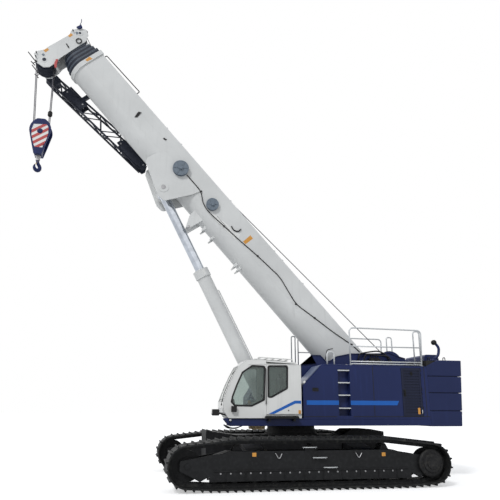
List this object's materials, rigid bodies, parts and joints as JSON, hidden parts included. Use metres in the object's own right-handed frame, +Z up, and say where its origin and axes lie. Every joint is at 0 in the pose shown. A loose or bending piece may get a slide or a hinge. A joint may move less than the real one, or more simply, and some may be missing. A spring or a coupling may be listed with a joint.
{
  "type": "crawler crane with a telescopic boom",
  "caption": "Self-propelled crane on steel crawler tracks: a slewing upper with cab, machinery houses and counterweight, and a telescoping boom raised by a hydraulic cylinder.",
  "frame": {"origin": "on the ground, under the slew axis", "axes": "+X forward, the way the boom and cab face, +Y to the crane's left, +Z up"},
  "size_m": [13.1841, 5.71, 14.0318],
  "materials": {
    "track_steel": "worn matt",
    "black_paint": "satin",
    "navy_paint": "satin",
    "white_paint": "gloss",
    "boom_paint": "satin",
    "slate_paint": "satin",
    "reel_paint": "satin",
    "galvanised": "matt",
    "bare_steel": "machined",
    "rope_steel": "greased",
    "chromed_rod": "polished",
    "cast_iron": "matt",
    "seat_cloth": "woven",
    "cab_glass": "clear"
  },
  "bodies": {
    "undercarriage": {"track_left": "track_steel", "track_right": "track_steel", "track_wheels_left": "black_paint", "track_wheels_right": "black_paint", "track_frame_left": "black_paint", "track_frame_right": "black_paint", "final_drive_left": "black_paint", "final_drive_right": "black_paint", "carbody": "black_paint", "slew_ring_lower": "black_paint"},
    "upper": {"slew_ring_upper": "black_paint", "turntable_deck": "navy_paint", "boom_foot_frame": "navy_paint", "foot_pins": "bare_steel", "house_left": "navy_paint", "house_right": "navy_paint", "ladder_treads": "galvanised", "engine_block": "cast_iron", "counterweight_1": "navy_paint", "counterweight_2": "navy_paint", "counterweight_3": "navy_paint", "counterweight_4": "navy_paint", "winch_main": "navy_paint", "winch_aux": "navy_paint", "cab_shell": "white_paint", "cab_side_glass": "cab_glass", "cab_seat": "seat_cloth", "cab_roof_guard": "white_paint", "railing_left": "galvanised", "railing_right": "galvanised"},
    "cab_door": {"cab_door": "white_paint", "cab_door_glass": "cab_glass"},
    "engine_door": {"engine_door": "navy_paint"},
    "boom": {"boom_base": "boom_paint", "lift_head_pin": "bare_steel", "cable_reels": "reel_paint", "stowed_jib": "slate_paint"},
    "section_2": {"boom_section_2": "slate_paint"},
    "section_3": {"boom_section_3": "slate_paint"},
    "section_4": {"boom_section_4": "slate_paint"},
    "section_5": {"boom_section_5": "slate_paint", "boom_head": "boom_paint", "head_sheaves": "slate_paint"},
    "hook": {"rope_falls": "rope_steel", "hook_block": "navy_paint", "hook": "navy_paint"},
    "lift_rod": {"lift_rod": "chromed_rod"},
    "lift_barrel": {"lift_barrel": "boom_paint"}
  },
  "joints": [
    {"name": "slew", "type": "hinge", "parent": "undercarriage", "child": "upper", "pos_m": [0, 0, 1.335], "axis": [0, 0, 1], "continuous": true},
    {"name": "boom_luff", "type": "hinge", "parent": "upper", "child": "boom", "pos_m": [-1.6, 0, 3.1], "axis": [0, -1, 0], "range_deg": [-50, 32]},
    {"name": "tele_2", "type": "slide", "parent": "boom", "child": "section_2", "axis": [0.6691, 0, 0.7431], "range_m": [0, 8.6]},
    {"name": "tele_3", "type": "slide", "parent": "section_2", "child": "section_3", "axis": [0.6691, 0, 0.7431], "range_m": [0, 8.6]},
    {"name": "tele_4", "type": "slide", "parent": "section_3", "child": "section_4", "axis": [0.6691, 0, 0.7431], "range_m": [0, 8.6]},
    {"name": "tele_5", "type": "slide", "parent": "section_4", "child": "section_5", "axis": [0.6691, 0, 0.7431], "range_m": [0, 8.6]},
    {"name": "hook_plumb", "type": "hinge", "parent": "section_5", "child": "hook", "pos_m": [8.00213, 0, 12.54874], "axis": [0, -1, 0], "range_deg": [-32, 50]},
    {"name": "lift_eye", "type": "hinge", "parent": "boom", "child": "lift_rod", "pos_m": [4.07982, 0, 8.46008], "axis": [0, -1, 0], "range_deg": [-10.7, 6.9]},
    {"name": "lift_stroke", "type": "slide", "parent": "lift_rod", "child": "lift_barrel", "axis": [-0.4582, 0, -0.8889], "range_m": [-1.862, 1.192]},
    {"name": "cab_door_slide", "type": "slide", "parent": "upper", "child": "cab_door", "axis": [-1, 0, 0], "range_m": [0, 0.7]},
    {"name": "engine_door_hinge", "type": "hinge", "parent": "upper", "child": "engine_door", "pos_m": [-3.513, 1.514, 2.375], "axis": [0, 0, 1], "range_deg": [0, 100]}
  ],
  "couplings": [
    {"joint": "tele_3", "follows": "tele_2", "ratio": 1},
    {"joint": "tele_4", "follows": "tele_2", "ratio": 1},
    {"joint": "tele_5", "follows": "tele_2", "ratio": 1},
    {"joint": "hook_plumb", "follows": "boom_luff", "ratio": -1},
    {"joint": "lift_eye", "follows": "boom_luff", "ratio": 0.213},
    {"joint": "lift_stroke", "follows": "boom_luff", "m_per_rad": 2.131}
  ]
}
